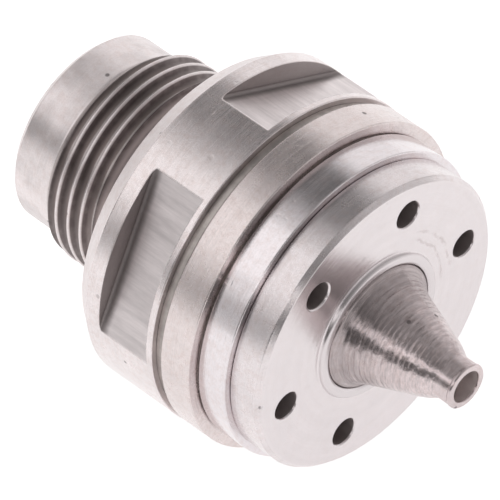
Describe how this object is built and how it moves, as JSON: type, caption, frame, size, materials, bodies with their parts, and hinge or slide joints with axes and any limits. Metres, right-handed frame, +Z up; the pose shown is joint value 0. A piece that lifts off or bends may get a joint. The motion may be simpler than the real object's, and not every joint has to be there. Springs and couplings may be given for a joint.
{
  "type": "oil burner nozzle",
  "caption": "Air-atomising oil burner nozzle with a threaded rear stub, spanner collar, stacked air rings, ported face cap, conical oil tip and sprung check valve.",
  "frame": {"origin": "centre of the collar's rear shoulder face, on the nozzle axis", "axes": "+X along the nozzle axis in the spray direction, +Z up with the nozzle lying level, +Y completes the right-handed frame"},
  "size_m": [0.0312, 0.022, 0.022],
  "materials": {
    "body_steel": "turned stainless steel, satin",
    "ring_steel": "fine turned stainless steel",
    "cap_steel": "faced stainless steel, bright",
    "tip_steel": "rough-turned stainless steel, slightly dark",
    "pin_steel": "ground steel dowel",
    "insert_steel": "hardened steel, ground",
    "spring_steel": "spring wire",
    "gauze_steel": "fine perforated stainless sheet",
    "brass": "turned brass",
    "seal_rubber": "fluoro rubber",
    "gasket_steel": "soft annealed steel, dull"
  },
  "bodies": {
    "nozzle": {"nozzle_body": "body_steel", "collar_gasket": "gasket_steel", "air_ring": "ring_steel", "ring_gasket": "gasket_steel", "plenum_ring": "ring_steel", "locating_pins": "pin_steel", "face_cap": "cap_steel", "oil_tip": "tip_steel", "orifice_insert": "insert_steel", "swirl_plug": "insert_steel", "lock_screw": "brass", "tip_o_ring": "seal_rubber", "valve_seat": "insert_steel", "valve_spring": "spring_steel", "spring_retainer": "brass", "retaining_ring": "spring_steel", "strainer_plug": "brass", "strainer_cage": "brass", "strainer_screen": "gauze_steel", "strainer_end_cap": "brass"},
    "poppet": {"valve_poppet": "insert_steel", "poppet_seal": "seal_rubber"}
  },
  "joints": [
    {"name": "poppet_lift", "type": "slide", "parent": "nozzle", "child": "poppet", "axis": [1, 0, 0], "range_m": [0, 0.0008], "stiffness_N_per_m": 1200, "springref_m": -0.0003, "deforming": ["valve_spring"]}
  ]
}
